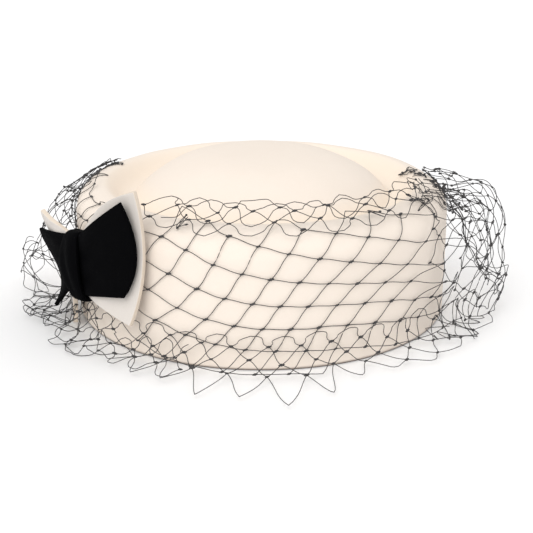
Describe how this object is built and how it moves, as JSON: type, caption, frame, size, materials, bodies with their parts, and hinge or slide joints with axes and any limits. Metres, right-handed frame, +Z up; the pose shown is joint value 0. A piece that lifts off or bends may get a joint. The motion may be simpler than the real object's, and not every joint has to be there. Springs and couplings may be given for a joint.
{
  "type": "pillbox hat",
  "caption": "Round felt pillbox hat with a low domed top, a two-layer felt bow on the side and a short veil of diamond net round the front.",
  "frame": {"origin": "on the ground, under the middle of the whole outline, veil and bow included", "axes": "+Z up through the crown, -Y towards the front of the veil, the bow on the -X side turned towards -Y"},
  "size_m": [0.2566, 0.2228, 0.0828],
  "materials": {
    "ivory_felt": "matte wool felt",
    "bow_ivory_felt": "matte wool felt",
    "black_felt": "matte wool felt",
    "net_thread": "satin thread"
  },
  "bodies": {
    "root": {"crown": "ivory_felt", "ivory_bow": "bow_ivory_felt", "black_bow": "black_felt", "bow_band": "black_felt", "veil": "net_thread"}
  },
  "joints": []
}
